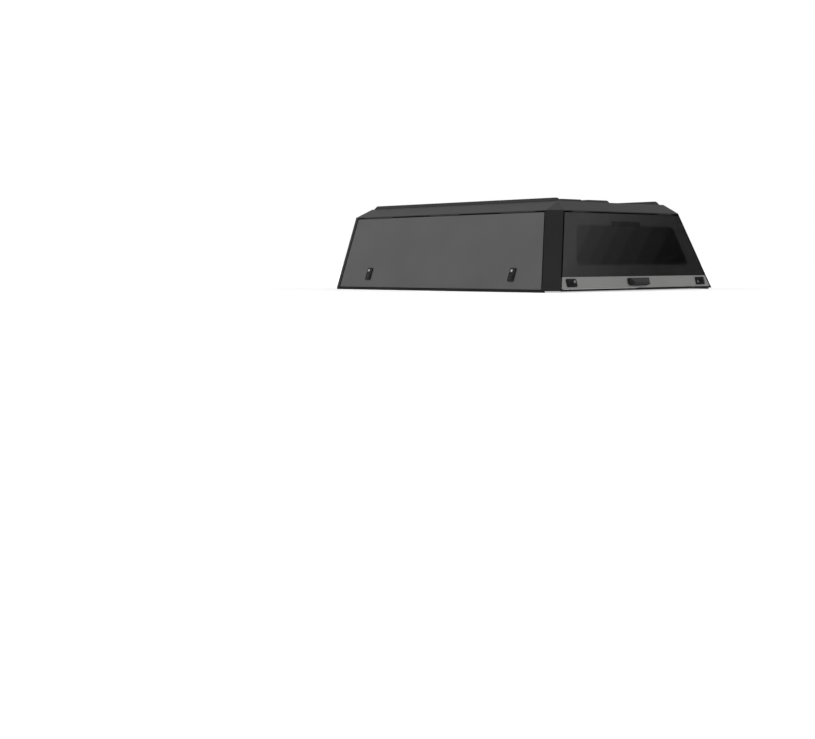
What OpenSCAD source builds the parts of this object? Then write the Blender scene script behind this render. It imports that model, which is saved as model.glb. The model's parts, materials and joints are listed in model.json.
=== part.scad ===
// Steel canopy for a pickup bed: faceted shell, lift-up side doors and a frameless rear hatch.
// X runs across, +Y towards the cab, +Z up. The origin is the centre of the base bolt pattern,
// on the underside of the base flanges. All lengths are in millimetres.

/* [Body] */
// Width over the side walls at the base
base_w = 1740; // [1600:10:1880]
// Length of the base
base_l = 2160; // [2000:10:2300]
// Height of the eave above the base
eave_h = 520; // [440:10:600]
// Rise from the eave to the flat of the roof
roof_rise = 63; // [50:1:80]
// Inward lean of the side walls in degrees
side_lean = 20.25; // [14:0.25:23]
// Forward lean of the rear wall in degrees
rear_lean = 16.25; // [10:0.25:20]
// Leg of the cut across each rear corner, seen in plan
corner_cut = 81; // [65:1:100]
// Run of the roof's side facets
side_facet = 131; // [100:1:150]
// Run of the roof's rear facet
rear_facet = 91; // [70:1:110]
// Run of the roof's front facet
front_facet = 30; // [20:1:45]

/* [Sheet metal] */
// Thickness of the folded steel skins
skin_t = 2; // [1.5:0.5:3]
// Thickness of the base flanges
flange_t = 3; // [2:0.5:5]
// Width of the base flanges
flange_w = 75; // [70:1:90]
// Depth of the frame from the outer face to the back of the seal land
frame_d = 30; // [29:1:36]
// Width of the seal land behind a door edge
land_w = 40; // [34:1:50]
// Height of the skirt below the eave
skirt_h = 5; // [4:0.5:8]
// Side strip of the front posts
post_w = 27; // [22:1:40]
// Front return of the front posts
post_return = 60; // [50:1:80]

/* [Side doors] */
// Gap in front of and behind a door
door_gap = 8; // [7:0.5:10]
// Gap that holds the hinge knuckles above a door and above the hatch
hinge_gap = 9; // [8.5:0.5:11]
// Gap between a door and the base
door_foot = 10; // [8:1:14]
// Depth of a door
door_d = 22; // [20:1:22]
// Width of a door's inner frame
door_rail = 40; // [30:1:48]
// Width of the stiffeners inside a door
stiffener_w = 45; // [30:1:60]
// Distance of a door's stiffeners from the middle
stiffener_y = 330; // [250:10:450]

/* [Hatch] */
// Gap beside the hatch
hatch_gap = 11; // [8:0.5:14]
// Gap between the hatch and the tailgate line
hatch_foot = 12; // [10:1:16]
// Height of the steel strip along the hatch, measured up the slope
strip_h = 80; // [72:1:95]
// Thickness of the glass
glass_t = 5; // [4:0.5:6]
// Width of the frame bonded behind the glass
hatch_rail = 45; // [35:1:60]
// Depth of the frame bonded behind the glass
hatch_rail_d = 14; // [10:1:17]
// Length of the brake light
brake_l = 286; // [200:2:320]
// Height of the brake light
brake_h = 34; // [24:1:40]
// Distance from the top of the hatch to the brake light
brake_drop = 59; // [50:1:90]

/* [Latches] */
// Length of a latch
latch_l = 94; // [86:1:100]
// Width of a latch
latch_w = 54; // [48:1:58]
// How far a latch stands proud
latch_proud = 6; // [4:0.5:8]
// Radius of a lock cylinder
lock_r = 8.5; // [7:0.5:9.5]
// Height of a door latch's middle, measured up the slope
latch_s = 109; // [104:1:130]
// Distance of the front latch from the front end of the base
latch_front = 333; // [300:1:430]
// Distance of the rear latch from the rear end of the base
latch_rear = 384; // [360:1:480]
// Distance of the hatch latches from the sides of the base
latch_side = 201; // [190:1:250]

/* [Handle] */
// Length of the pull handle
handle_l = 216; // [180:1:260]
// Height of the pull handle
handle_h = 50; // [40:1:56]
// Reach of the pull handle
handle_reach = 34; // [28:1:42]

/* [Hinges] */
// Radius of a hinge pin
pin_r = 1.6; // [1.4:0.1:2]
// Running clearance round a hinge pin
pin_play = 0.08; // [0.05:0.01:0.1]
// Radius of a hinge knuckle
knuckle_r = 3.2; // [3:0.1:3.6]
// Length of a door hinge
door_hinge_l = 300; // [200:10:400]
// Spacing of the door hinges
door_hinge_pitch = 700; // [600:10:720]
// Length of a hatch hinge
hatch_hinge_l = 150; // [100:10:200]
// Distance of the hatch hinges from the sides of the base
hatch_hinge_side = 430; // [410:10:570]
// Thickness of the hinge leaves
leaf_t = 2; // [1.5:0.5:2]

/* [Roof] */
// Height of the outer roof rails
rail_h = 24; // [16:1:28]
// Width of the top of a roof rail
rail_w = 28; // [20:1:44]
// Margin between a roof rail and the fold beside it
rail_margin = 3; // [2:1:20]
// Distance of a roof rail's rear end from the edge of the flat
rail_back = 31; // [10:1:80]
// Distance of a roof rail's front end from the edge of the flat
rail_lead = 20; // [10:1:60]
// Height of the two middle pressings
middle_h = 31; // [20:1:36]
// Width of the top of a middle pressing
middle_w = 198; // [160:2:240]
// Distance of the middle pressings' ends from the edges of the flat
middle_inset = 231; // [200:1:340]
// Width of the channel between the tops of the middle pressings
channel_w = 84; // [60:2:120]
// Run of a pressing's sides for each millimetre of height
press_run = 0.7; // [0.5:0.05:0.9]
// Number of roof bows
bows = 3; // [2:1:5]
// Width of a roof bow
bow_w = 50; // [40:1:70]
// Depth of a roof bow
bow_d = 24; // [18:1:32]

/* [Front window] */
// Width of the front window opening
window_w = 980; // [700:10:1040]
// Height of the front window opening
window_h = 290; // [220:10:300]
// Height of the opening's lower edge
window_z = 140; // [120:1:170]
// Corner radius of the opening
window_r = 45; // [30:1:60]
// How far the glass laps the panel
window_lap = 28; // [20:1:34]

/* [Base] */
// Thickness of the rubber strip under the base
seal_t = 10; // [6:1:14]
// Width of the rubber strip under the base
seal_w = 24; // [18:1:28]
// Distance of the bolt rows from the outer edge
bolt_inset = 52; // [46:1:56]
// Distance of the outer bolts from the ends of the base
bolt_end = 180; // [160:10:280]
// Lengthwise spacing of the inner bolts
bolt_mid = 600; // [400:10:800]
// Radius of the bolt holes
bolt_r = 4.5; // [3.5:0.5:6]

/* [Hidden] */
$fn = 48;

reach = 4000;                 // size of the blocks that bound the envelope
slop = 5;                     // how far a cutting shape runs past what it cuts
half_w = base_w / 2;
half_l = base_l / 2;

// Plan distances of the eave and of the flat of the roof
eave_x = half_w - eave_h * tan(side_lean);
eave_y = half_l - eave_h * tan(rear_lean);
flat_x = eave_x - side_facet;
flat_y = eave_y - rear_facet;
flat_z = eave_h + roof_rise;

// Slope lengths of the side and rear walls
side_s = eave_h / cos(side_lean);
rear_s = eave_h / cos(rear_lean);
skirt_side = skirt_h / cos(side_lean);
skirt_rear = skirt_h / cos(rear_lean);

// Distances of the corner planes along the plan diagonal
diag_foot = (half_w + half_l - corner_cut) / sqrt(2);
diag_eave = (eave_x + eave_y - corner_cut) / sqrt(2);
diag_flat = (flat_x + flat_y) / sqrt(2);
corner_lean = atan((diag_foot - diag_eave) / eave_h);

side_fall = atan(roof_rise / side_facet);
rear_fall = atan(roof_rise / rear_facet);
front_fall = atan(roof_rise / front_facet);
corner_fall = atan(roof_rise / (diag_eave - diag_flat));

// Door and hatch edges, measured up the slope
door_top = side_s - skirt_side - hinge_gap;
hatch_top = rear_s - skirt_rear - hinge_gap;
door_axis = door_top + hinge_gap / 2;
hatch_axis = hatch_top + hinge_gap / 2;
door_front = half_l - post_w - door_gap;
land_front = door_front - land_w;
land_back = skin_t + door_gap + land_w;
hatch_back = skin_t + hatch_gap + land_w;
hinge_mid = (land_front - side_edge(door_top) + land_back) / 2;
hatch_latch_s = hatch_foot + strip_h / 2;
seal_gap = 0.5;               // between a closed door and its rubber
seal_d = frame_d - skin_t;    // outer face of the seal land
web_top = 50;                 // top of the lower seal land, up the slope
strip_top = hatch_foot + strip_h;
door_z = door_foot * cos(side_lean);
hatch_z = hatch_foot * cos(rear_lean);

// Roof pressings: a narrow rail beside each fold and two wide ones beside the middle channel
roof_front = half_l - front_facet;
rail_x = flat_x - rail_margin - press_run * rail_h - rail_w / 2;
middle_x = (channel_w + middle_w) / 2;
latch_body = 38;              // depth of a latch case behind the skin
latch_rim = 7;                // border of a latch round its pocket
latch_case_end = 12;          // case to the end of the bezel
pocket_d = 3;
paddle_gap = 3;               // paddle to the wall of the pocket
paddle_t = 2;
latch_y = [half_l - latch_front, latch_rear - half_l];
bolt_y = [half_l - bolt_end, bolt_mid / 2];
steel = "#3c3d3f";
silver = "#7d7e80";
black = "#1c1c1d";

function side_edge(s) = half_l - corner_cut - s * (half_l - eave_y) / side_s;
function rear_edge(s) = half_w - corner_cut - s * (half_w - eave_x) / rear_s;

// Everything on the inner side of the plane at distance d whose normal has this azimuth and polar angle
module below(azimuth, polar, d) {
    rotate([0, polar, azimuth])
        translate([-reach, -reach, d - 2 * reach])
            cube(2 * reach);
}

// A side wall and its roof facet
module below_side(azimuth, inset) {
    intersection() {
        below(azimuth, 90 - side_lean, half_w * cos(side_lean) - inset);
        below(azimuth, side_fall, eave_x * sin(side_fall) + eave_h * cos(side_fall) - inset);
    }
}

// A rear corner face and the small facet above it
module below_corner(azimuth, inset) {
    intersection() {
        below(azimuth, 90 - corner_lean, diag_foot * cos(corner_lean) - inset);
        below(azimuth, corner_fall, diag_eave * sin(corner_fall) + eave_h * cos(corner_fall) - inset);
    }
}

// The whole outline of the canopy with every face moved in by inset
module envelope(inset) {
    intersection() {
        below(0, 0, flat_z - inset);
        below(90, 90, half_l - inset);
        below(90, front_fall, half_l * sin(front_fall) + eave_h * cos(front_fall) - inset);
        below(270, 90 - rear_lean, half_l * cos(rear_lean) - inset);
        below(270, rear_fall, eave_y * sin(rear_fall) + eave_h * cos(rear_fall) - inset);
        below_side(0, inset);
        below_side(180, inset);
        below_corner(225, inset);
        below_corner(315, inset);
    }
}

// One sheet of the given thickness that follows the outline
module sheet(inset, t) {
    difference() {
        envelope(inset);
        envelope(inset + t);
    }
}

// Horizontal layer between two heights
module layer(z0, z1) {
    translate([-reach, -reach, z0])
        cube([2 * reach, 2 * reach, z1 - z0]);
}

// Local frames: x to the viewer's right, y up the slope, z outwards
module on_left() {
    translate([-half_w, 0, 0])
        rotate([0, side_lean, 0])
            rotate([0, 0, -90])
                rotate([90, 0, 0])
                    children();
}

module on_rear() {
    translate([0, -half_l, 0])
        rotate([90 - rear_lean, 0, 0])
            children();
}

// Slab in the left wall from front_y to the pillar edge less back, between two slope heights and depths
module side_slab(front_y, back, s0, s1, d0, d1) {
    on_left()
        translate([0, 0, -d1])
            linear_extrude(d1 - d0)
                polygon([[-front_y, s0], [side_edge(s0) - back, s0],
                         [side_edge(s1) - back, s1], [-front_y, s1]]);
}

// Slab in the rear wall between the pillar edges less back, between two slope heights and depths
module rear_slab(back, s0, s1, d0, d1) {
    on_rear()
        translate([0, 0, -d1])
            linear_extrude(d1 - d0)
                polygon([[back - rear_edge(s0), s0], [rear_edge(s0) - back, s0],
                         [rear_edge(s1) - back, s1], [back - rear_edge(s1), s1]]);
}

module rounded(w, h, r) {
    square([w - 2 * r, h], center = true);
    square([w, h - 2 * r], center = true);
    for (x = [-1, 1], y = [-1, 1])
        translate([x * (w / 2 - r), y * (h / 2 - r)])
            circle(r);
}

module right() {
    mirror([1, 0, 0])
        children();
}

// Base frame

module base_seal() {
    color(black)
        translate([0, 0, -seal_t])
            linear_extrude(seal_t)
                polygon([[-half_w + skin_t, corner_cut - half_l], [-half_w + seal_w, corner_cut - half_l],
                         [-half_w + seal_w, half_l - skin_t], [-half_w + skin_t, half_l - skin_t]]);
}

module base_seal_front() {
    color(black)
        translate([seal_w - half_w, half_l - seal_w, -seal_t])
            cube([base_w - 2 * seal_w, seal_w - skin_t, seal_t]);
}

module base_rail() {
    color(steel)
        difference() {
            union() {
                linear_extrude(flange_t)
                    polygon([[-half_w, corner_cut - half_l], [corner_cut - half_w, -half_l],
                             [flange_w + corner_cut - half_w, -half_l],
                             [flange_w + corner_cut - half_w, corner_cut - half_l],
                             [flange_w - half_w, 2 * corner_cut - half_l],
                             [flange_w - half_w, half_l], [-half_w, half_l]]);
                intersection() {
                    layer(flange_t / 2, eave_h);
                    side_slab(land_front, land_back, -web_top, web_top + slop, skin_t, 3 * seal_d);
                    on_left()
                        rotate([90, 0, 90])
                            translate([0, 0, -reach])
                                linear_extrude(2 * reach)
                                    polygon([[-web_top, -frame_d], [-web_top, -seal_d], [web_top, -seal_d],
                                             [web_top, -2 * seal_d], [web_top - skin_t, -2 * seal_d],
                                             [web_top - skin_t, -frame_d]]);
                }
            }
            for (y = bolt_y, end = [-1, 1])
                translate([bolt_inset - half_w, end * y, -slop])
                    cylinder(r = bolt_r, h = flange_t + 2 * slop);
        }
}

module front_sill() {
    color(steel)
        translate([flange_w - half_w, half_l - flange_w, 0])
            cube([base_w - 2 * flange_w, flange_w, flange_t]);
}

// Posts, pillars and headers

module front_post() {
    strip = half_l - post_w;
    color(steel)
        intersection() {
            layer(flange_t, eave_h - skirt_h);
            on_left()
                translate([0, -land_w, 0])
                    rotate([-90, 0, 0])
                        linear_extrude(side_s + 2 * land_w)
                            polygon([[-half_l, 0], [-strip, 0], [-strip, seal_d], [-land_front, seal_d],
                                     [-land_front, frame_d], [-strip - skin_t, frame_d],
                                     [-strip - skin_t, skin_t], [skin_t - half_l, skin_t],
                                     [skin_t - half_l, post_return], [-half_l, post_return]]);
        }
}

module rear_pillar() {
    color(steel)
        intersection() {
            layer(flange_t, eave_h - skirt_h);
            translate([-reach, -reach, 0])
                cube(reach);
            union() {
                difference() {
                    sheet(0, skin_t);
                    side_slab(half_l, skin_t, -slop, side_s, -slop, frame_d);
                    rear_slab(skin_t, -slop, rear_s, -slop, frame_d);
                }
                difference() {
                    side_slab(half_l, 0, -land_w, side_s + land_w, 0, frame_d);
                    side_slab(half_l, skin_t, -land_w, side_s + land_w, -slop, seal_d);
                    side_slab(reach, land_back, -land_w, side_s + land_w, -slop, frame_d + slop);
                }
                difference() {
                    rear_slab(0, -land_w, rear_s + land_w, 0, frame_d);
                    rear_slab(skin_t, -land_w, rear_s + land_w, -slop, seal_d);
                    rear_slab(hatch_back, -land_w, rear_s + land_w, -slop, frame_d + slop);
                }
            }
        }
}

module side_header() {
    top = door_top + hinge_gap;
    color(steel)
        intersection() {
            envelope(skin_t);
            union() {
                side_slab(land_front, land_back, top, top + skin_t, skin_t, frame_d);
                side_slab(land_front, land_back, top - hinge_gap - land_w, side_s + side_facet,
                          seal_d, frame_d);
            }
        }
}

module rear_header() {
    top = hatch_top + hinge_gap;
    color(steel)
        intersection() {
            envelope(skin_t);
            union() {
                rear_slab(hatch_back, top, top + skin_t, skin_t, frame_d);
                rear_slab(hatch_back, top - hinge_gap - land_w, rear_s + skirt_h, seal_d, frame_d);
            }
        }
}

// Front wall

module window_shape(grow) {
    translate([0, window_z + window_h / 2])
        rounded(window_w + 2 * grow, window_h + 2 * grow, window_r + grow);
}

module on_front(y, t) {
    translate([0, y, 0])
        rotate([90, 0, 0])
            linear_extrude(t)
                children();
}

module front_panel() {
    foot = half_w - (frame_d + 1) / cos(side_lean);
    head = foot - flat_z * tan(side_lean);
    color(steel)
        intersection() {
            envelope(skin_t);
            layer(flange_t, flat_z);
            on_front(half_l - skin_t, skin_t)
                difference() {
                    polygon([[-foot, 0], [foot, 0], [head, flat_z], [-head, flat_z]]);
                    window_shape(0);
                }
        }
}

module front_window_gasket() {
    color(black)
        on_front(half_l - 2 * skin_t, skin_t)
            difference() {
                window_shape(window_lap);
                window_shape(0);
            }
}

module front_window_glass() {
    color("#4a4d50", 0.5)
        on_front(half_l - 3 * skin_t, glass_t)
            window_shape(window_lap);
}

// Roof

// Block h high above the flat of the roof, with sloping sides and ends, and w wide at its top
module pressing(x, w, h, y0, y1, inset) {
    foot = w / 2 + press_run * h - inset;
    crown = foot - press_run * (h - inset);
    bottom = -skin_t - inset;
    intersection() {
        translate([x, y1 + slop, flat_z])
            rotate([90, 0, 0])
                linear_extrude(y1 - y0 + 2 * slop)
                    polygon([[-foot, bottom], [foot, bottom], [foot, 0],
                             [crown, h - inset], [-crown, h - inset], [-foot, 0]]);
        translate([x - w, 0, flat_z])
            rotate([90, 0, 90])
                linear_extrude(2 * w)
                    polygon([[y0 + inset, bottom], [y1 - inset, bottom], [y1 - inset, 0],
                             [y1 - inset - foot + crown, h - inset],
                             [y0 + inset + foot - crown, h - inset], [y0 + inset, 0]]);
    }
}

module pressings(inset) {
    for (side = [-1, 1]) {
        pressing(side * rail_x, rail_w, rail_h, rail_back - flat_y, roof_front - rail_lead, inset);
        pressing(side * middle_x, middle_w, middle_h, middle_inset - flat_y,
                 roof_front - middle_inset, inset);
    }
}

module roof_panel() {
    color(steel)
        difference() {
            union() {
                intersection() {
                    sheet(0, skin_t);
                    layer(eave_h - skirt_h, flat_z + slop);
                }
                pressings(0);
            }
            pressings(skin_t);
        }
}

module roof_bows() {
    step = (roof_front + flat_y) / (bows + 1);
    color(steel)
        for (i = [1 : bows])
            translate([-flat_x, i * step - flat_y - bow_w / 2, flat_z - skin_t - bow_d])
                difference() {
                    cube([2 * flat_x, bow_w, bow_d]);
                    translate([-slop, skin_t, skin_t])
                        cube([2 * flat_x + 2 * slop, bow_w - 2 * skin_t, bow_d]);
                }
}

// Rubber seals

module door_seal() {
    rubber = land_w / 3;
    color(black)
        difference() {
            side_slab(land_front + rubber, land_back - rubber, web_top - rubber, door_top - land_w + rubber,
                      door_d + seal_gap, seal_d);
            side_slab(land_front, land_back, web_top, door_top - land_w, 0, frame_d);
        }
}

module hatch_seal() {
    rubber = land_w / 3;
    color(black)
        difference() {
            rear_slab(hatch_back - rubber, hatch_foot, hatch_top - land_w + rubber,
                      door_d + seal_gap, seal_d);
            rear_slab(hatch_back, -slop, hatch_top - land_w, 0, frame_d);
        }
}

// Hinges: knuckles in the gap above the door, the leaves run inwards from them

module fixed_leaf(length) {
    third = length / 3;
    for (x = [-1, 1])
        translate([x * third - third / 2, 0, 0]) {
            rotate([0, 90, 0])
                cylinder(r = knuckle_r, h = third);
            translate([0, hinge_gap / 2 - leaf_t, skin_t - seal_d + 1])
                cube([third, leaf_t, seal_d - skin_t - 1]);
        }
    translate([-length / 2, 0, 0])
        rotate([0, 90, 0])
            cylinder(r = pin_r, h = length);
}

module moving_leaf(length, depth) {
    third = length / 3 - 2 * pin_play;
    translate([-third / 2, 0, 0])
        difference() {
            union() {
                rotate([0, 90, 0])
                    cylinder(r = knuckle_r, h = third);
                translate([0, -hinge_gap / 2, -depth])
                    cube([third, leaf_t, depth]);
            }
            translate([-slop, 0, 0])
                rotate([0, 90, 0])
                    cylinder(r = pin_r + pin_play, h = length);
        }
}

module door_hinges() {
    on_left()
        for (i = [-1, 0, 1])
            translate([i * door_hinge_pitch - hinge_mid, door_axis, 0])
                children();
}

module hatch_hinges() {
    on_rear()
        for (side = [-1, 1])
            translate([side * (half_w - hatch_hinge_side), hatch_axis, 0])
                children();
}

// Strikers: a bar between two ears

module striker(length) {
    ear = 14;
    for (x = [-length / 2, length / 2 - flange_t])
        translate([x, 0, -ear / 2])
            cube([flange_t, ear, ear]);
    translate([-length / 2, 0, -ear / 2])
        cube([length, skin_t, ear]);
    translate([-length / 2, ear / 2 + skin_t, 0])
        rotate([0, 90, 0])
            cylinder(r = ear / 4, h = length);
}

module door_strikers() {
    color("silver")
        on_left()
            for (y = latch_y)
                translate([-y, web_top, -frame_d - land_w / 3])
                    striker(latch_w);
}

module hatch_strikers() {
    color("silver")
        on_rear()
            for (side = [-1, 1])
                translate([side * (rear_edge(hatch_latch_s) - hatch_back + land_w / 2),
                           hatch_latch_s, -frame_d])
                    rotate([-90, 0, 90])
                        striker(latch_w);
}

// Latches: a bezel with a paddle pocket outside the skin and the latch case behind it

module latch_case(grow) {
    cube([latch_w - 2 * latch_rim + 2 * grow, latch_l - 2 * latch_case_end + 2 * grow, 2 * latch_body],
         center = true);
}

module latch() {
    pocket_l = latch_l / 2;
    difference() {
        union() {
            linear_extrude(latch_proud)
                rounded(latch_w, latch_l, latch_w / 6);
            intersection() {
                latch_case(0);
                translate([-latch_l, -latch_l, -latch_body])
                    cube([2 * latch_l, 2 * latch_l, latch_body]);
            }
        }
        translate([0, -latch_l / 6, latch_proud - pocket_d])
            linear_extrude(latch_proud)
                rounded(latch_w - 2 * latch_rim, pocket_l, latch_rim - 2);
        lock_place()
            translate([0, 0, -lock_r])
                cylinder(r = lock_r, h = 3 * lock_r);
    }
    translate([0, paddle_gap - latch_l / 6, latch_proud - pocket_d])
        linear_extrude(paddle_t)
            rounded(latch_w - 2 * latch_rim - 2 * paddle_gap, pocket_l - 4 * paddle_gap,
                    latch_rim - paddle_gap);
}

module lock_place() {
    translate([-latch_w / 8, latch_l / 2 - 2 * lock_r - paddle_gap, 0])
        children();
}

module lock() {
    lock_place()
        translate([0, 0, -lock_r])
            difference() {
                cylinder(r = lock_r, h = lock_r + latch_proud + 1);
                translate([-1, -lock_r / 2, lock_r + latch_proud - 1])
                    cube([2, lock_r, 3]);
            }
}

module at_door_latches() {
    on_left()
        for (y = latch_y)
            translate([-y, latch_s, 0])
                children();
}

module at_hatch_latches() {
    on_rear()
        for (side = [-1, 1])
            translate([side * (half_w - latch_side), hatch_latch_s, 0])
                rotate([0, 0, side * 90])
                    children();
}

// Doors

module door_skin() {
    color(silver)
        difference() {
            intersection() {
                side_slab(door_front, skin_t + door_gap, 0, door_top, 0, door_d);
                layer(door_z, eave_h);
            }
            intersection() {
                side_slab(door_front - skin_t, 2 * skin_t + door_gap, 0, door_top - skin_t,
                          skin_t, door_d + slop);
                layer(door_z + skin_t, eave_h);
            }
            at_door_latches()
                latch_case(1);
        }
}

module door_frame() {
    edge = skin_t + door_rail;
    color(steel)
        intersection() {
            layer(door_z + skin_t, eave_h);
            union() {
                difference() {
                    side_slab(door_front - skin_t, door_gap + 2 * skin_t, 0, door_top - skin_t,
                              door_d - skin_t, door_d);
                    side_slab(door_front - edge, door_gap + skin_t + edge, web_top, door_top - edge,
                              0, door_d + slop);
                }
                on_left()
                    for (y = [-stiffener_y, stiffener_y])
                        translate([-y - stiffener_w / 2, 0, -door_d])
                            difference() {
                                cube([stiffener_w, door_top - skin_t, door_d - skin_t]);
                                translate([skin_t, -slop, skin_t])
                                    cube([stiffener_w - 2 * skin_t, door_top + 2 * slop,
                                          door_d - 2 * skin_t]);
                            }
            }
        }
}

module door_latches() {
    color(black)
        at_door_latches()
            latch();
}

module door_locks() {
    color("gainsboro")
        at_door_latches()
            lock();
}

module door_hinge_leaves() {
    color(black)
        door_hinges()
            moving_leaf(door_hinge_l, door_d - skin_t);
}

module door_fixed_leaves() {
    color(black)
        door_hinges()
            fixed_leaf(door_hinge_l);
}

// Hatch

module hatch_glass() {
    color("#26282a", 0.7)
        rear_slab(skin_t + hatch_gap, strip_top, hatch_top, 0, glass_t);
}

module hatch_frame() {
    color(black)
        difference() {
            rear_slab(skin_t + hatch_gap, strip_top, hatch_top, glass_t, glass_t + hatch_rail_d);
            rear_slab(skin_t + hatch_gap + hatch_rail, strip_top + hatch_rail, hatch_top - hatch_rail,
                      0, door_d + slop);
        }
}

module hatch_strip() {
    back = skin_t + hatch_gap;
    color(silver)
        difference() {
            intersection() {
                rear_slab(back, 0, strip_top, 0, door_d);
                layer(hatch_z, eave_h);
            }
            intersection() {
                rear_slab(back + skin_t, 0, strip_top - skin_t, skin_t, door_d + slop);
                layer(hatch_z + skin_t, eave_h);
            }
            at_hatch_latches()
                latch_case(1);
        }
}

module hatch_latches() {
    color(black)
        at_hatch_latches()
            latch();
}

module hatch_locks() {
    color("gainsboro")
        at_hatch_latches()
            lock();
}

module hatch_handle() {
    grip = handle_h / 4;
    color(black)
        on_rear()
            translate([0, hatch_latch_s, 0])
                difference() {
                    intersection() {
                        rotate([-90, 0, 0])
                            translate([0, 0, -handle_h / 2])
                                linear_extrude(handle_h)
                                    polygon([[-handle_l / 2, 0], [-handle_l / 2, -handle_reach / 3],
                                             [-handle_l / 3, -handle_reach], [handle_l / 3, -handle_reach],
                                             [handle_l / 2, -handle_reach / 3], [handle_l / 2, 0]]);
                        rotate([90, 0, 90])
                            translate([0, 0, -handle_l])
                                linear_extrude(2 * handle_l)
                                    polygon([[-handle_h / 2, 0], [-handle_h / 2, handle_reach * 0.7],
                                             [-grip, handle_reach], [handle_h / 2, handle_reach / 2],
                                             [handle_h / 2, 0]]);
                        linear_extrude(handle_reach)
                            polygon([[-handle_l / 2, handle_h / 2], [-handle_l / 2, -grip],
                                     [2 * grip - handle_l / 2, -handle_h / 2],
                                     [handle_l / 2 - 2 * grip, -handle_h / 2],
                                     [handle_l / 2, -grip], [handle_l / 2, handle_h / 2]]);
                    }
                    translate([-handle_l / 3, -handle_h, skin_t])
                        cube([handle_l * 2 / 3, handle_h + grip / 2, handle_reach - grip - skin_t]);
                }
}

module hatch_brake_light() {
    color("#3a1212")
        on_rear()
            translate([-brake_l / 2, hatch_top - brake_drop - brake_h, -glass_t - hatch_rail_d])
                cube([brake_l, brake_h, hatch_rail_d]);
}

module hatch_hinge_leaves() {
    color(black)
        hatch_hinges()
            moving_leaf(hatch_hinge_l, glass_t + hatch_rail_d);
}

module hatch_fixed_leaves() {
    color(black)
        hatch_hinges()
            fixed_leaf(hatch_hinge_l);
}

base_seal();  // base_seal_left
right() base_seal();  // base_seal_right
base_seal_front();
base_rail();  // left_base_rail
right() base_rail();  // right_base_rail
front_sill();
front_post();  // left_front_post
right() front_post();  // right_front_post
rear_pillar();  // left_rear_pillar
right() rear_pillar();  // right_rear_pillar
side_header();  // left_header
right() side_header();  // right_header
rear_header();
front_panel();
front_window_gasket();
front_window_glass();
roof_panel();
roof_bows();
door_seal();  // left_door_seal
right() door_seal();  // right_door_seal
hatch_seal();
door_fixed_leaves();  // left_hinge_fixed_leaves
right() door_fixed_leaves();  // right_hinge_fixed_leaves
hatch_fixed_leaves();  // hatch_hinge_fixed_leaves
door_strikers();  // left_door_strikers
right() door_strikers();  // right_door_strikers
hatch_strikers();
door_skin();  // left_door_skin
door_frame();  // left_door_frame
door_latches();  // left_door_latches
door_locks();  // left_door_locks
door_hinge_leaves();  // left_hinge_leaves
right() door_skin();  // right_door_skin
right() door_frame();  // right_door_frame
right() door_latches();  // right_door_latches
right() door_locks();  // right_door_locks
right() door_hinge_leaves();  // right_hinge_leaves
hatch_glass();
hatch_frame();
hatch_strip();
hatch_latches();
hatch_locks();
hatch_handle();
hatch_brake_light();
hatch_hinge_leaves();
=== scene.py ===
import json
import math

import bmesh
import bpy
from mathutils import Matrix, Vector


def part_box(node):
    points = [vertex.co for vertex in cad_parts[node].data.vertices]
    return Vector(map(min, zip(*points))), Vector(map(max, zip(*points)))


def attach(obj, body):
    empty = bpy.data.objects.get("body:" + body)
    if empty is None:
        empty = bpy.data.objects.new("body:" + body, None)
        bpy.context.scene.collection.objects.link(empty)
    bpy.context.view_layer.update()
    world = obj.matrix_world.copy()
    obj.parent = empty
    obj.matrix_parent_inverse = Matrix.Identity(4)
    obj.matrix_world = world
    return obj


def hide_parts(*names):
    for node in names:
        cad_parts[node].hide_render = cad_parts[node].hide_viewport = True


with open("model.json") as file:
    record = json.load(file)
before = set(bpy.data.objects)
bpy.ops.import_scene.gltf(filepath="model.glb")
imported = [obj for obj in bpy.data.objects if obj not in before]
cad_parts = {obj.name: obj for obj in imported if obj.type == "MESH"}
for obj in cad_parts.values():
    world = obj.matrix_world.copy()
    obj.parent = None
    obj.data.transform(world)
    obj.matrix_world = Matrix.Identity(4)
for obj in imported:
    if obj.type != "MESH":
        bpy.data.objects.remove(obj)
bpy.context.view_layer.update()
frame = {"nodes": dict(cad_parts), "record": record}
mm = 0.001
print("frame loaded:", len(frame["nodes"]), "nodes")

# The walls lean, so each has a frame of its own: x to the viewer's right, y up the slope, z outwards
shell = {
    "halfWidth": 870 * mm, "halfLength": 1080 * mm, "eave": 520 * mm,
    "sideLean": 20.25, "rearLean": 16.25, "cornerCut": 81 * mm, "hatchGap": 13 * mm,
    "hatchTop": 527.4 * mm, "stripTop": 92 * mm,
}


def turn(degrees, axis):
    return Matrix.Rotation(math.radians(degrees), 4, axis)


def move(x, y, z):
    return Matrix.Translation((x, y, z))


leftWall = move(-shell["halfWidth"], 0, 0) @ turn(shell["sideLean"], "Y") @ turn(-90, "Z") @ turn(90, "X")
rearWall = move(0, -shell["halfLength"], 0) @ turn(90 - shell["rearLean"], "X")
mirrorX = Matrix.Scale(-1, 4, (1, 0, 0))


# Camera

cameraSetup = {
    "place": (-7.36328, -7.05189, 0.18490), "yaw": 41.51442, "pitch": -4.68161, "roll": 0.04792, "rake": 0.39786,
    "focalPixels": 1395.63, "photoWidth": 815, "sensor": 36, "clip": (0.1, 500),
}


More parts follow.
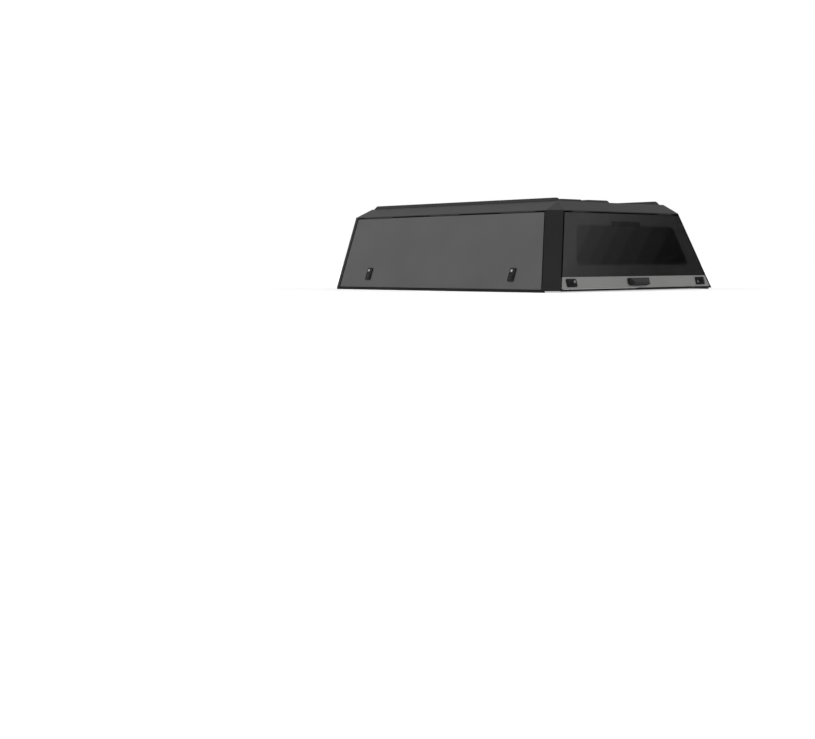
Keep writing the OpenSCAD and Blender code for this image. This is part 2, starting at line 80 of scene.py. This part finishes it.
def makeCamera(setup):
    data = bpy.data.cameras.new("photoCamera")
    data.sensor_width = setup["sensor"]
    data.lens = setup["sensor"] * setup["focalPixels"] / setup["photoWidth"]
    data.clip_start, data.clip_end = setup["clip"]
    view = bpy.data.objects.new("photoCamera", data)
    bpy.context.scene.collection.objects.link(view)
    aim = turn(setup["rake"], "X") @ turn(-setup["yaw"], "Z") @ turn(90 + setup["pitch"], "X")
    view.matrix_world = Matrix.Translation(setup["place"]) @ aim @ turn(setup["roll"], "Z")
    bpy.context.scene.camera = view


makeCamera(cameraSetup)
print("camera set")


# Materials

def hexColour(text):
    channels = [int(text[i:i + 2], 16) / 255 for i in (1, 3, 5)]
    return tuple(c / 12.92 if c <= 0.04045 else ((c + 0.055) / 1.055) ** 2.4 for c in channels) + (1.0,)


def addNode(tree, kind, settings=None, links=None):
    node = tree.nodes.new(kind)
    for key, value in (settings or {}).items():
        if isinstance(key, int) or key in node.inputs:
            node.inputs[key].default_value = value
        else:
            setattr(node, key, value)
    for key, socket in (links or {}).items():
        tree.links.new(socket, node.inputs[key])
    return node


# A new material, with the values that are the same all over it on the shader's own sockets
def newMaterial(name, fixed):
    material = bpy.data.materials.new(name)
    material.use_nodes = True
    tree = material.node_tree
    shader = tree.nodes["Principled BSDF"]
    for socket, value in fixed.items():
        shader.inputs[socket].default_value = value
    return material, tree, shader


# Polyester powder coat baked on steel: a fine wrinkle breaks up the gloss, and broad clouds shift the tone
# The real wrinkle is 0.5 mm, and it is drawn at 3 mm so that it shows
wrinkledCoat = {
    "size": 3 * mm, "detail": 3.0, "relief": (0.3, 0.25 * mm), "rough": (0.5, 0.58),
    "cloud": 350 * mm, "cloudDetail": 2.0,
}

# Moulded ABS with a spark eroded grain, deep black and slightly glossy on its edges
sparkGrain = {"size": 1.2 * mm, "detail": 4.0, "relief": (0.35, 0.1 * mm), "rough": (0.32, 0.45)}

# Extruded EPDM rubber, matt, with faint lines along the strip
extrudedLines = {
    "size": 2 * mm, "detail": 2.0, "stretch": (1, 0.05, 1), "relief": (0.3, 0.15 * mm), "rough": (0.7, 0.85),
}

# Metals: polished under chrome plate, and fine lines from rolling under zinc or from the die under black anodising
platedLines = {"size": 0.8 * mm, "detail": 3.0, "relief": (0.2, 0.05 * mm), "rough": (0.12, 0.2)}
rolledLines = {**platedLines, "stretch": (1, 0.1, 1), "rough": (0.25, 0.4)}
dieLines = {**platedLines, "stretch": (0.05, 1, 1), "rough": (0.35, 0.5)}

# Tempered float glass, tinted in the mass: the faint waviness of the tempering rollers bends its reflections
rollerWave = {"size": 220 * mm, "detail": 0.0, "stretch": (1, 0.2, 1), "relief": (0.1, 0.25 * mm)}

# Ceramic enamel fired onto the glass: near black, nearly as smooth as the glass, with a mottle from the screen print
printMottle = {"size": 60 * mm, "detail": 2.0, "rough": (0.06, 0.1)}

# Acrylic lamp lens, moulded with upright ribs that hide the diodes
lensRibs = {"pitch": 6 * mm, "relief": (0.6, 0.6 * mm)}

waveLength = 0.314  # length in metres of one band of a wave texture with a scale of 1
toneStops = (0.3, 0.7)  # the dark tone ends at the first and the light tone starts at the second


# Makes a finish: a pattern in Object coordinates shades it from dark to light, varies its roughness and raises it
def makeFinish(name, pattern, fixed, tones=()):
    material, tree, shader = newMaterial(name, fixed)
    point = addNode(tree, "ShaderNodeTexCoord").outputs["Object"]
    if "pitch" in pattern:
        wave = {"wave_type": "BANDS", "bands_direction": "X", "Scale": waveLength / pattern["pitch"]}
        grain = addNode(tree, "ShaderNodeTexWave", wave, {"Vector": point}).outputs["Fac"]
    else:
        stretched = addNode(tree, "ShaderNodeMapping", {"Scale": pattern.get("stretch", (1, 1, 1))}, {"Vector": point})
        noise = {"Scale": 1 / pattern["size"], "Detail": pattern["detail"]}
        grain = addNode(tree, "ShaderNodeTexNoise", noise, {"Vector": stretched.outputs[0]}).outputs[0]
    if tones:
        tone = grain
        if "cloud" in pattern:
            broad = {"Scale": 1 / pattern["cloud"], "Detail": pattern["cloudDetail"]}
            tone = addNode(tree, "ShaderNodeTexNoise", broad, {"Vector": point}).outputs[0]
        ramp = addNode(tree, "ShaderNodeValToRGB", {}, {"Fac": tone})
        for stop, position, colour in zip(ramp.color_ramp.elements, toneStops, tones):
            stop.position, stop.color = position, hexColour(colour)
        tree.links.new(ramp.outputs["Color"], shader.inputs["Base Color"])
    if "rough" in pattern:
        low, high = pattern["rough"]
        spread = addNode(tree, "ShaderNodeMapRange", {"To Min": low, "To Max": high}, {"Value": grain})
        tree.links.new(spread.outputs["Result"], shader.inputs["Roughness"])
    if "relief" in pattern:
        strength, depth = pattern["relief"]
        bump = addNode(tree, "ShaderNodeBump", {"Strength": strength, "Distance": depth}, {"Height": grain})
        tree.links.new(bump.outputs[0], shader.inputs["Normal"])
    return material


# How much of a plain dielectric's gloss each finish keeps
def gloss(level):
    return {"Specular IOR Level": level}


metal = {"Metallic": 1.0}
lens = {"Roughness": 0.15, "Coat Weight": 0.5, "Coat Roughness": 0.05}


def clearGlass(tint):
    return {"Base Color": hexColour(tint), "Roughness": 0.0, "IOR": 1.5, "Transmission Weight": 1.0}


finishes = {
    "frame_paint": makeFinish("powderCoatGraphite", wrinkledCoat, gloss(0.15), ("#232323", "#272727")),
    "panel_paint": makeFinish("powderCoatGrey", wrinkledCoat, gloss(0.29), ("#484848", "#4c4c4c")),
    "strip_paint": makeFinish("powderCoatSilver", wrinkledCoat, gloss(0.35), ("#747473", "#7a7a79")),
    "black_plastic": makeFinish("mouldedAbsBlack", sparkGrain, gloss(0.2), ("#0c0c0c", "#131313")),
    "lock_chrome": makeFinish("chromePlatedZinc", platedLines, metal, ("#b4b5b7", "#c6c7c9")),
    "striker_steel": makeFinish("zincPlatedSteel", rolledLines, metal, ("#8d8f93", "#a7a9ad")),
    "hinge_steel": makeFinish("blackenedHingeSteel", sparkGrain, gloss(0.2), ("#101011", "#181819")),
    "hatch_frame": makeFinish("blackAnodisedAluminium", dieLines, metal, ("#1a1a1c", "#222224")),
    "seal_rubber": makeFinish("extrudedEpdmRubber", extrudedLines, gloss(0.3), ("#0e0e0e", "#161616")),
    "hatch_glass": makeFinish("temperedGlassPrivacyTint", rollerWave, clearGlass("#151515")),
    "window_glass": makeFinish("temperedGlassGreyTint", rollerWave, clearGlass("#7d8283")),
    "lamp_lens": makeFinish("acrylicLampLens", lensRibs, lens, ("#4a2a20", "#6a3a2a")),
}
# The same black enamel also colours the key slots of the lock cylinders, as painted shade
enamelAndSlotShade = makeFinish("firedBlackEnamelAndSlotShade", printMottle, {}, ("#212121", "#262626"))
print("materials made:", len(finishes) + 1)


# Carried-over nodes: finish by slot, and eased edges on folded sheet

easing = {
    "left_door_skin": 0.9, "right_door_skin": 0.9, "hatch_strip": 0.9, "roof_panel": 0.9,
    "left_rear_pillar": 0.9, "right_rear_pillar": 0.9, "left_front_post": 0.9, "right_front_post": 0.9,
    "left_base_rail": 0.9, "right_base_rail": 0.9, "hatch_handle": 2.5, "hatch_brake_light": 2.0,
    "roof_bows": 0.9, "left_door_frame": 0.7, "right_door_frame": 0.7, "hatch_frame": 1.5,
}
easeSetup = {"weld": 0.01, "flat": 0.5, "segments": 2, "sharpest": 20, "weight": 100}


# Joins a node's loose triangles into flat faces, rounds its edges and keeps the flat faces flat in the light
def easeEdges(piece, width):
    weld = piece.modifiers.new("weld", "WELD")
    weld.merge_threshold = easeSetup["weld"] * mm
    flat = piece.modifiers.new("flat", "DECIMATE")
    flat.decimate_type = "DISSOLVE"
    flat.angle_limit = math.radians(easeSetup["flat"])
    ease = piece.modifiers.new("ease", "BEVEL")
    ease.width, ease.segments = width * mm, easeSetup["segments"]
    ease.limit_method, ease.angle_limit = "ANGLE", math.radians(easeSetup["sharpest"])
    normals = piece.modifiers.new("normals", "WEIGHTED_NORMAL")
    normals.weight, normals.keep_sharp = easeSetup["weight"], False


def dressNodes():
    slots = {row["node"]: row["material_slot"] for row in frame["record"]["subparts"]}
    for name, node in frame["nodes"].items():
        node.data.materials.clear()
        node.data.materials.append(finishes[slots[name]])
        if name in easing:
            easeEdges(node, easing[name])


dressNodes()
print("nodes dressed")


# Small tools for new pieces

smoothAngle = 35  # edges sharper than this stay sharp in the light


def placeMesh(bm, name, material):
    mesh = bpy.data.meshes.new(name)
    bm.to_mesh(mesh)
    bm.free()
    mesh.materials.append(material)
    placed = bpy.data.objects.new(name, mesh)
    bpy.context.scene.collection.objects.link(placed)
    return placed


def finishPiece(bm, name, body, material, replaced=()):
    bmesh.ops.remove_doubles(bm, verts=bm.verts, dist=0.001 * mm)
    bmesh.ops.recalc_face_normals(bm, faces=bm.faces)
    piece = placeMesh(bm, name, material)
    piece.data.shade_smooth()
    piece.data.set_sharp_from_angle(angle=math.radians(smoothAngle))
    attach(piece, body)
    if replaced:
        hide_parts(*replaced)
    return piece


# A block between two corners; returns its new vertices
def addBlock(bm, low, high):
    centre = (Vector(low) + Vector(high)) / 2
    size = Vector(high) - Vector(low)
    made = bmesh.ops.create_cube(bm, size=1, matrix=Matrix.Translation(centre) @ Matrix.Diagonal((*size, 1)))
    return made["verts"]


# A round or many-sided bar whose middle lies at a place
def addBar(bm, sides, radii, depth, place):
    made = bmesh.ops.create_cone(bm, cap_ends=True, segments=sides, radius1=radii[0], radius2=radii[1], depth=depth,
                                 matrix=place)
    return made["verts"]


def bevelEdges(bm, edges, offset, segments):
    return bmesh.ops.bevel(bm, geom=list(edges), offset=offset * mm, segments=segments, profile=0.5, affect="EDGES",
                           material=-1)["faces"]


# The edges that stand up by more than a given height
def uprightOf(edges, height):
    return [e for e in edges if abs((e.verts[0].co - e.verts[1].co).z) > height]


# Copies one bmesh into another at a place
def stamp(target, source, matrix):
    mesh = bpy.data.meshes.new("stamp")
    source.to_mesh(mesh)
    mesh.transform(matrix)
    if matrix.determinant() < 0:
        mesh.flip_normals()
    target.from_mesh(mesh)
    bpy.data.meshes.remove(mesh)


# Latches: a moulded bezel with a dish, a ribbed paddle in it, and a round key cylinder at one end

latch = {
    "width": 54, "length": 94, "proud": 6, "corner": 9, "cornerSteps": 6, "split": 13,
    "rim": 5, "dish": 3.6, "dishWall": 1.6, "ease": 0.8, "sharp": 40,
    "case": (40, 70, 38), "caseGap": 0.2,
    "paddle": (33, 44, 4), "paddleAt": (0, -17.5, 3.4), "paddleCorner": 5, "paddleEase": 0.8,
    "ribs": 3, "ribPitch": 10, "rib": (25, 3.6, 1.2), "ribCorner": 1.2, "ribEase": 0.4, "ribSink": 0.2,
    "frontY": 747, "rearY": 696, "slope": 109, "hatchX": 669, "hatchSlope": 52,
}
lock = {
    "radius": 8.5, "at": (-6.75, 27, 0), "front": 7.2, "behind": 8, "sides": 40, "rimEase": 0.7,
    "ring": 1.8, "face": 0.9, "faceWall": 0.4, "slot": (1.6, 9, 0.3),
}


# A block with rounded upright corners and eased rims, sizes in mm
def easedBlock(bm, size, at, corner, ease):
    half = Vector(size) / 2
    verts = addBlock(bm, (Vector(at) - half) * mm, (Vector(at) + half) * mm)
    upright = uprightOf({e for v in verts for e in v.link_edges}, 0.5 * size[2] * mm)
    rounded = bevelEdges(bm, upright, corner, latch["cornerSteps"])
    faces = {f for v in verts if v.is_valid for f in v.link_faces} | set(rounded)
    bevelEdges(bm, {e for f in faces for e in f.edges if e.calc_face_angle(0) > math.radians(60)}, ease, 2)


def makeLatch():
    bm = bmesh.new()
    w, l, h = latch["width"] / 2 * mm, latch["length"] / 2 * mm, latch["proud"] * mm
    addBlock(bm, (-w, -l, 0), (w, l, h))
    bevelEdges(bm, uprightOf(bm.edges, h / 2), latch["corner"], latch["cornerSteps"])
    # The front is split across, and its lower part is sunk to a dish
    front = [f for f in bm.faces if f.normal.z > 0.9]
    cut = front + list({e for f in front for e in f.edges}) + list({v for f in front for v in f.verts})
    split = latch["split"] * mm
    bmesh.ops.bisect_plane(bm, geom=cut, plane_co=(0, split, 0), plane_no=(0, 1, 0))
    low = [f for f in bm.faces if f.normal.z > 0.9 and f.calc_center_median().y < split]
    bmesh.ops.inset_individual(bm, faces=low, thickness=latch["rim"] * mm, depth=0)
    bmesh.ops.inset_individual(bm, faces=low, thickness=latch["dishWall"] * mm, depth=-latch["dish"] * mm)
    sharp = math.radians(latch["sharp"])
    edges = [e for e in bm.edges if e.calc_face_angle(0) > sharp and max(v.co.z for v in e.verts) > h / 4]
    bevelEdges(bm, edges, latch["ease"], 2)
    cx, cy, cz = latch["case"]
    addBlock(bm, (-cx / 2 * mm, -cy / 2 * mm, -cz * mm), (cx / 2 * mm, cy / 2 * mm, -latch["caseGap"] * mm))
    easedBlock(bm, latch["paddle"], latch["paddleAt"], latch["paddleCorner"], latch["paddleEase"])
    px, py, pz = latch["paddleAt"]
    ribZ = pz + latch["paddle"][2] / 2 + latch["rib"][2] / 2 - latch["ribSink"]
    for i in range(latch["ribs"]):
        y = py + (i - (latch["ribs"] - 1) / 2) * latch["ribPitch"]
        easedBlock(bm, latch["rib"], (px, y, ribZ), latch["ribCorner"], latch["ribEase"])
    return bm


def makeLock():
    bm = bmesh.new()
    radius = lock["radius"] * mm
    depth = (lock["front"] + lock["behind"]) * mm
    addBar(bm, lock["sides"], (radius, radius), depth, move(0, 0, lock["front"] * mm - depth / 2))
    rim = [e for f in bm.faces if f.normal.z > 0.9 for e in f.edges]
    bevelEdges(bm, rim, lock["rimEase"], 3)
    face = [f for f in bm.faces if f.normal.z > 0.99 and len(f.verts) > 8]
    bmesh.ops.inset_individual(bm, faces=face, thickness=lock["ring"] * mm, depth=0)
    bmesh.ops.inset_individual(bm, faces=face, thickness=lock["faceWall"] * mm, depth=-lock["face"] * mm)
    # The key's slot is a thin dark block that stands just proud of the face, painted shade where the real keyway is an
    # open slot
    sx, sy, sz = (side * mm for side in lock["slot"])
    base = (lock["front"] - lock["face"]) * mm
    slot = addBlock(bm, (-sx / 2, -sy / 2, base - sz), (sx / 2, sy / 2, base + sz / 2))
    for f in {f for v in slot for f in v.link_faces}:
        f.material_index = 1
    bmesh.ops.translate(bm, verts=bm.verts, vec=Vector(lock["at"]) * mm)
    return bm


# For each node stem, the body it rides on and the places of its two latches
def latchPlaces():
    door = [leftWall @ move(-y * mm, latch["slope"] * mm, 0) for y in (latch["frontY"], -latch["rearY"])]
    hatch = [rearWall @ move(side * latch["hatchX"] * mm, latch["hatchSlope"] * mm, 0) @ turn(90 * side, "Z")
             for side in (-1, 1)]
    return {
        "left_door": ("left_door", door),
        "right_door": ("canopy", [mirrorX @ place for place in door]),
        "hatch": ("hatch", hatch),
    }


def makeLatchSets():
    mould, cylinder = makeLatch(), makeLock()
    plastic, chrome = finishes["black_plastic"], finishes["lock_chrome"]
    for stem, (body, places) in latchPlaces().items():
        bezels, cylinders = bmesh.new(), bmesh.new()
        for place in places:
            stamp(bezels, mould, place)
            stamp(cylinders, cylinder, place)
        finishPiece(bezels, stem + "_latch_mouldings", body, plastic, [stem + "_latches"])
        locks = finishPiece(cylinders, stem + "_key_cylinders", body, chrome, [stem + "_locks"])
        # The key slots take the black enamel as painted shade
        locks.data.materials.append(enamelAndSlotShade)
    mould.free()
    cylinder.free()


makeLatchSets()
print("latches and key cylinders made")


# Hatch glass border: black enamel fired onto the glass, which ends in rows of dots round a clear window
# The window has a notch at its top, where the brake light stands behind the glass

border = {
    "edge": 1.5, "inner": -0.02, "thick": 0.2, "corner": 34, "cornerSteps": 8,
    "bottomHalf": 585, "topHalf": 500, "bottom": 167.7, "top": 445.8,
    "lampHalf": 147, "lampBottom": 430.4, "lampTop": 472.4,
    "dotPitch": 6.5, "dotRadii": (2.4, 1.6), "dotSides": 8, "firstDot": 0.6,
}


# Half width of the rear opening at a height up the slope, in mm
def rearEdge(slope):
    foot = (shell["halfWidth"] - shell["cornerCut"]) / mm
    rise = shell["eave"] / mm / math.cos(math.radians(shell["rearLean"]))
    lean = shell["eave"] / mm * math.tan(math.radians(shell["sideLean"]))
    return foot - slope * lean / rise


# The points of a loop through the corners, each corner rounded
def roundedLoop(corners, radius, segments):
    scratch = bmesh.new()
    verts = [scratch.verts.new((x * mm, y * mm, 0)) for x, y in corners]
    scratch.faces.new(verts)
    bmesh.ops.bevel(scratch, geom=verts, offset=radius * mm, segments=segments, profile=0.5, affect="VERTICES",
                    material=-1)
    face = max(scratch.faces, key=lambda f: f.calc_area())
    loop = [v.co.copy() for v in face.verts]
    scratch.free()
    return loop


# Rows of dots that shrink towards the clear window, left out in front of the brake light
def makeDots(clear):
    dots = bmesh.new()
    pitch = border["dotPitch"] * mm
    for row, radius in enumerate(border["dotRadii"]):
        inset = (row + border["firstDot"]) * pitch
        for i, start in enumerate(clear):
            along = clear[(i + 1) % len(clear)] - start
            steps = max(1, round(along.length / pitch))
            inward = Vector((-along.y, along.x, 0)).normalized() * inset
            for k in range(steps):
                point = start + along * (k / steps) + inward
                if abs(point.x) < border["lampHalf"] * mm and point.y > border["lampBottom"] * mm:
                    continue
                bmesh.ops.create_circle(dots, cap_ends=True, segments=border["dotSides"], radius=radius * mm,
                                        matrix=Matrix.Translation(point))
    return dots


def makeBorder():
    b = border
    stripTop, hatchTop, gap = shell["stripTop"] / mm, shell["hatchTop"] / mm, shell["hatchGap"] / mm
    lowHalf, highHalf = (rearEdge(slope) - gap - b["edge"] for slope in (stripTop, hatchTop))
    low, high = stripTop + b["edge"], hatchTop - b["edge"]
    outer = [(-lowHalf, low), (lowHalf, low), (highHalf, high), (-highHalf, high)]
    clear = roundedLoop([(-b["bottomHalf"], b["bottom"]), (b["bottomHalf"], b["bottom"]),
                         (b["topHalf"], b["top"]), (-b["topHalf"], b["top"])], b["corner"], b["cornerSteps"])
    notch = [Vector((x * mm, y * mm, 0)) for x, y in (
        (b["lampHalf"], b["top"]), (b["lampHalf"], b["lampTop"]),
        (-b["lampHalf"], b["lampTop"]), (-b["lampHalf"], b["top"]))]
    # The loop is opened at its long top edge, and the notch goes in there
    top = max(p.y for p in clear)
    count = len(clear)
    at = max(range(count), key=lambda i: (clear[i].y > top - 0.01 * mm, (clear[i] - clear[(i + 1) % count]).length))
    ordered = clear[at + 1:] + clear[:at + 1]
    if ordered[-1].x < 0:
        notch.reverse()
    bm = bmesh.new()
    edges = []
    for points in ([Vector((x * mm, y * mm, 0)) for x, y in outer], ordered + notch):
        verts = [bm.verts.new(p) for p in points]
        edges += [bm.edges.new((verts[i], verts[(i + 1) % len(verts)])) for i in range(len(verts))]
    bmesh.ops.triangle_fill(bm, edges=edges, use_beauty=True, use_dissolve=False)
    dots = makeDots(clear)
    stamp(bm, dots, Matrix.Identity(4))
    dots.free()
    extruded = bmesh.ops.extrude_face_region(bm, geom=bm.faces[:])["geom"]
    raised = [v for v in extruded if isinstance(v, bmesh.types.BMVert)]
    bmesh.ops.translate(bm, verts=raised, vec=(0, 0, b["thick"] * mm))
    bmesh.ops.transform(bm, matrix=rearWall @ move(0, 0, -b["inner"] * mm), verts=bm.verts)
    finishPiece(bm, "hatch_glass_border", "hatch", enamelAndSlotShade)


makeBorder()
print("hatch glass border made")


# Rubber bulb along the foot of the hatch, which seals against the tailgate

footSeal = {
    "radius": 5.5, "slope": 6, "depth": 12, "lipThick": 2.4, "lipTop": 13.2, "endGap": 4, "endEase": 1.2, "sides": 16,
}


def makeFootSeal():
    bm = bmesh.new()
    f = footSeal
    half = rearEdge(f["slope"]) - shell["hatchGap"] / mm - f["endGap"]
    radius = f["radius"] * mm
    addBar(bm, f["sides"], (radius, radius), 2 * half * mm, move(0, f["slope"] * mm, -f["depth"] * mm) @ turn(90, "Y"))
    bevelEdges(bm, [e for e in bm.edges if e.calc_face_angle(0) > math.radians(60)], f["endEase"], 2)
    addBlock(bm, (-half * mm, f["slope"] * mm, -(f["depth"] + f["lipThick"] / 2) * mm),
             (half * mm, f["lipTop"] * mm, -(f["depth"] - f["lipThick"] / 2) * mm))
    bmesh.ops.transform(bm, matrix=rearWall, verts=bm.verts)
    finishPiece(bm, "hatch_foot_seal", "hatch", finishes["seal_rubber"])


# Flange bolts that hold the base down to the bed rails, their heads turned at will as a fitter leaves them

bolt = {
    "x": 818, "y": (900, 300), "flangeTop": 3, "washer": (11, 1.6), "washerTaper": 0.6, "washerSides": 32,
    "head": (7.5, 6.5), "chamfer": 0.8, "turnByY": 17, "turnBySide": 40,
}


def makeBolts():
    one = bmesh.new()
    washerR, washerT = (size * mm for size in bolt["washer"])
    headR, headT = (size * mm for size in bolt["head"])
    washerTop = washerR - bolt["washerTaper"] * mm
    addBar(one, bolt["washerSides"], (washerR, washerTop), washerT, move(0, 0, washerT / 2))
    head = addBar(one, 6, (headR, headR), headT, move(0, 0, washerT + headT / 2))
    rim = {e for v in head for e in v.link_edges if min(w.co.z for w in e.verts) > washerT + headT * 0.9}
    bevelEdges(one, rim, bolt["chamfer"], 2)
    bm = bmesh.new()
    for side in (-1, 1):
        for y in bolt["y"]:
            for end in (-1, 1):
                place = move(side * bolt["x"] * mm, end * y * mm, bolt["flangeTop"] * mm)
                stamp(bm, one, place @ turn(bolt["turnByY"] * y + bolt["turnBySide"] * side, "Z"))
    one.free()
    finishPiece(bm, "base_flange_bolts", "canopy", finishes["striker_steel"])


makeFootSeal()
makeBolts()
print("foot seal and bolts made")


# Studio: a pale floor that runs to the horizon, two broad lamps low on opposite sides and a soft one above

studio = {
    "floor": 400, "floorColour": "#e9e9e9", "floorGlow": 0.55, "worldFill": 0.3, "worldFillColour": "#ffffff",
    "left": {"towards": (-0.75, 0.65, 0.14), "strength": 4.0, "spread": 50},
    "rear": {"towards": (0.75, -0.65, 0.14), "strength": 4.0, "spread": 50},
    "over": {"towards": (0.336, 0.306, 0.888), "strength": 0.3, "spread": 24},
}
card = {
    "at": (4.63, -4.17, 2.41), "facing": (-0.772, 0.529, -0.352), "half": (3, 2.4), "slant": 52,
    "low": -0.8, "high": 0.8,
    "ends": ((0.0, 0.03), (0.79, 0.5)),
    "bands": ((0.306, 0.09), (0.412, 0.15), (0.525, 0.22), (0.625, 0.3), (0.7, 0.38)),
}


# 1 for the rays that see the studio itself: from the camera, off gloss and through glass
def paleSight(tree):
    path = addNode(tree, "ShaderNodeLightPath").outputs
    either = {"operation": "MAXIMUM"}
    seen = addNode(tree, "ShaderNodeMath", either, {0: path["Is Camera Ray"], 1: path["Is Glossy Ray"]})
    return addNode(tree, "ShaderNodeMath", either, {0: seen.outputs[0], 1: path["Is Transmission Ray"]}).outputs[0]


def makeWorld():
    world = bpy.data.worlds.new("studioWorld")
    bpy.context.scene.world = world
    world.use_nodes = True
    tree = world.node_tree
    tree.nodes.clear()
    fillLight = {"Color": hexColour(studio["worldFillColour"]), "Strength": studio["worldFill"]}
    fill = addNode(tree, "ShaderNodeBackground", fillLight)
    pale = addNode(tree, "ShaderNodeBackground", {"Color": (1, 1, 1, 1), "Strength": 1.0})
    mixed = addNode(tree, "ShaderNodeMixShader", {}, {0: paleSight(tree), 1: fill.outputs[0], 2: pale.outputs[0]})
    addNode(tree, "ShaderNodeOutputWorld", {}, {"Surface": mixed.outputs[0]})


def makeFloor():
    matt = {"Base Color": hexColour(studio["floorColour"]), "Roughness": 0.9, "Specular IOR Level": 0.0}
    material, tree, shader = newMaterial("paleFloor", matt)
    glow = addNode(tree, "ShaderNodeMath", {"operation": "MULTIPLY", 1: studio["floorGlow"]}, {0: paleSight(tree)})
    emit = addNode(tree, "ShaderNodeEmission", {}, {"Strength": glow.outputs[0]})
    both = addNode(tree, "ShaderNodeAddShader", {}, {0: shader.outputs[0], 1: emit.outputs[0]})
    tree.links.new(both.outputs[0], tree.nodes["Material Output"].inputs["Surface"])
    bm = bmesh.new()
    bmesh.ops.create_grid(bm, x_segments=8, y_segments=8, size=studio["floor"] / 2)
    bmesh.ops.translate(bm, verts=bm.verts, vec=(0, 0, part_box("base_seal_left")[0].z))
    placeMesh(bm, "studioFloor", material)


# A graded card beside the rear, seen only in reflections, that gives the hatch glass its slanted bands
def makeCard():
    material = bpy.data.materials.new("gradedCard")
    material.use_nodes = True
    tree = material.node_tree
    tree.nodes.clear()
    point = addNode(tree, "ShaderNodeTexCoord").outputs["Object"]
    across = addNode(tree, "ShaderNodeSeparateXYZ", {}, {0: point}).outputs["X"]
    along = addNode(tree, "ShaderNodeMapRange", {"From Min": card["low"], "From Max": card["high"]}, {"Value": across})
    ramp = addNode(tree, "ShaderNodeValToRGB", {}, {"Fac": along.outputs["Result"]})
    ramp.color_ramp.interpolation = "CONSTANT"
    stops = ramp.color_ramp.elements
    for stop, (at, level) in zip(stops, card["ends"]):
        stop.position, stop.color = at, (level, level, level, 1)
    for at, level in card["bands"]:
        stops.new(at).color = (level, level, level, 1)
    glow = addNode(tree, "ShaderNodeEmission", {}, {"Color": ramp.outputs["Color"]})
    addNode(tree, "ShaderNodeOutputMaterial", {}, {"Surface": glow.outputs[0]})
    bm = bmesh.new()
    bmesh.ops.create_grid(bm, x_segments=1, y_segments=1, size=1)
    bmesh.ops.scale(bm, verts=bm.verts, vec=(*card["half"], 1))
    sheet = placeMesh(bm, "gradedCard", material)
    facing = Vector(card["facing"]).to_track_quat("Z", "Y").to_matrix().to_4x4()
    sheet.matrix_world = Matrix.Translation(card["at"]) @ facing @ turn(card["slant"], "Z")
    sheet.visible_camera = sheet.visible_diffuse = sheet.visible_shadow = sheet.visible_transmission = False


# The glass shows the card and the backdrop, so only the lamp for shine is seen in gloss, and it lights nothing else
def makeLamp(name, setup, shine=False):
    data = bpy.data.lights.new(name, "SUN")
    data.energy = setup["strength"]
    data.angle = math.radians(setup["spread"])
    lamp = bpy.data.objects.new(name, data)
    bpy.context.scene.collection.objects.link(lamp)
    lamp.rotation_euler = Vector(setup["towards"]).to_track_quat("Z", "Y").to_euler()
    lamp.visible_glossy, lamp.visible_diffuse = shine, not shine


bpy.context.scene.view_settings.view_transform = "Standard"
makeWorld()
makeFloor()
makeCard()
makeLamp("leftLamp", studio["left"])
makeLamp("rearLamp", studio["rear"])
makeLamp("overLamp", studio["over"], shine=True)
print("studio lit")
